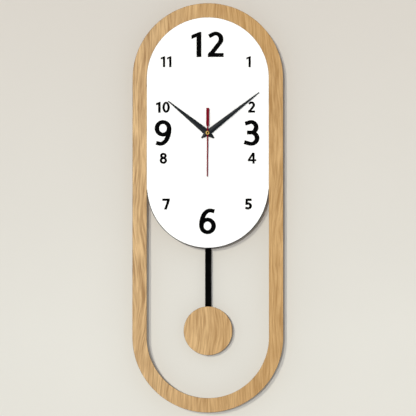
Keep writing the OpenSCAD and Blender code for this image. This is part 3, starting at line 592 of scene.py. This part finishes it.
def make_boss():
    """The turned brass button of the second hand, with a blind bore in its front, lined near black as
    painted shade.
    """
    low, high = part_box("second_hand_boss")
    rim_r = (high.x - low.x) / 2
    front, back = low.y, high.y
    bore_r, bore_depth, lip = 1.25 * MM, 1.6 * MM, 0.25 * MM
    dome_width, dome_depth = 1.045 * MM, 0.88 * MM
    neck_r, neck_length, chamfer = 1.5 * MM, 0.9 * MM, 0.15 * MM
    neck_y = back - neck_length
    outline = [(bore_r, front + bore_depth)]
    outline += eased(bore_r + lip, front, bore_r, front + lip)[::-1]
    outline += eased(rim_r - dome_width, front, rim_r, front + dome_depth, steps=6)
    outline += [(rim_r, neck_y - chamfer), (rim_r - chamfer, neck_y), (neck_r, neck_y), (neck_r, back)]
    # the bore's wall and floor take the near-black painted shade
    turned, bore = 0, 1
    steps = 64
    bm = bmesh.new()
    strips = [bore] * 2 + [turned] * (len(outline) - 3)
    rows = loft(bm, [circle(r, 0, shaft_z, y, steps) for r, y in outline], strips)
    bm.faces.new(rows[0]).material_index = bore
    bm.faces.new(rows[-1]).material_index = turned
    piece("second_boss_turned", bm, ["brass", "bore_painted_shade"], "second_train", "second_hand_boss",
          smooth_deg=35)


def ease_cad_edges(names, width_mm):
    """Rounds the sharp edges of CAD nodes with modifiers, leaving their meshes as they are."""
    same_point, sharp_from = 1e-6, math.radians(28)
    for name in names:
        node = frame["nodes"][name]
        node.modifiers.new("weld", "WELD").merge_threshold = same_point
        bevel = node.modifiers.new("ease", "BEVEL")
        bevel.width = width_mm * MM
        bevel.segments = 2
        bevel.limit_method = "ANGLE"
        bevel.angle_limit = sharp_from
        bevel.harden_normals = True


# ---------- stage and light ----------

def stage_plane(name, corners, one_way):
    """A flat stage piece in the material of its own name. A one_way piece is seen by the camera only,
    so it neither hides the lights behind the clock nor shades its back."""
    bm = bmesh.new()
    bm.faces.new([bm.verts.new(p) for p in corners])
    obj = mesh_object(name, bm, [name])
    obj.visible_shadow = not one_way
    obj.visible_diffuse = not one_way
    obj.visible_glossy = not one_way


def make_stage():
    """A pale wall just behind the clock, and a plain pale floor well below it."""
    wall_y, half, top = 0.3 * MM, 1.6, 1.3
    reach, drop = 7.0, 0.38
    floor_z = ring_low.z - drop
    # the wall is painted darker and pinker towards the top: painted shade
    one_sided("wall", (0.660, 0.646, 0.603), (0.90, 0.87, 0.86))
    stage_plane("wall", [(-half, wall_y, floor_z), (half, wall_y, floor_z),
                         (half, wall_y, top), (-half, wall_y, top)], one_way=True)
    one_sided("floor", (0.72, 0.71, 0.68))
    stage_plane("floor", [(-reach, -reach, floor_z), (reach, -reach, floor_z),
                          (reach, reach, floor_z), (-reach, reach, floor_z)], one_way=False)


def add_light(name, kind, energy, offset, shines=True, lightens=True, **settings):
    """A light that stands off from the clock's middle by the offset in metres, and faces it.
    shines: it is seen in gloss. lightens: it falls on matt surfaces."""
    middle = Vector((0, y_front, middle_z))
    position = middle + Vector(offset)
    data = bpy.data.lights.new(name, kind)
    data.energy = energy
    for key, value in settings.items():
        setattr(data, key, value)
    light = bpy.data.objects.new(name, data)
    light.visible_glossy = shines
    light.visible_diffuse = lightens
    light.location = position
    light.rotation_euler = (middle - position).to_track_quat("-Z", "Y").to_euler()
    bpy.context.scene.collection.objects.link(light)


def make_light():
    """A cool soft surround, a fill from nearly straight ahead, a warm key from the upper left for the
    short shadow, panels on the left for the gloss of the hands and the brass, and lights for the
    clock's back and sides."""
    scene = bpy.context.scene
    world = bpy.data.worlds.new("studio")
    world.use_nodes = True
    surround = world.node_tree.nodes["Background"]
    surround.inputs["Color"].default_value = (0.95, 1.0, 1.07, 1.0)
    surround.inputs["Strength"].default_value = 0.46
    scene.world = world
    warm = (1.0, 0.95, 0.83)
    crisp, soft, narrow = math.radians(2), math.radians(20), math.radians(1)
    add_light("key", "SUN", 1.2, (-0.175, -1.0, 0.13), shines=False, color=warm, angle=crisp)
    add_light("fill", "SUN", 1.2, (-0.065, -1.0, 0.035), shines=False, angle=crisp)
    add_light("left_panel", "AREA", 9.0, (-1.2, -2.4, 0.1), lightens=False,
              shape="RECTANGLE", size=0.8, size_y=1.6)
    add_light("high_panel", "AREA", 16.0, (-1.0, -1.6, 1.0), lightens=False,
              shape="RECTANGLE", size=0.7, size_y=0.7)
    add_light("rear", "SUN", 1.1, (0.5, 2.0, 1.0), angle=soft)
    for name, side in (("left_side", -1), ("right_side", 1)):
        add_light(name, "SUN", 0.7, (side, 0, 0), shines=False, angle=narrow)
    scene.view_settings.view_transform = "Standard"
    scene.view_settings.look = "None"
    scene.view_settings.exposure = 0.0


make_camera()
make_materials()
dress_cad_nodes()
make_ring()
make_dial()
make_bob()
make_boss()
ease_cad_edges(["hour_hand", "minute_hand"], 0.12)
ease_cad_edges(["second_hand"], 0.08)
make_stage()
make_light()
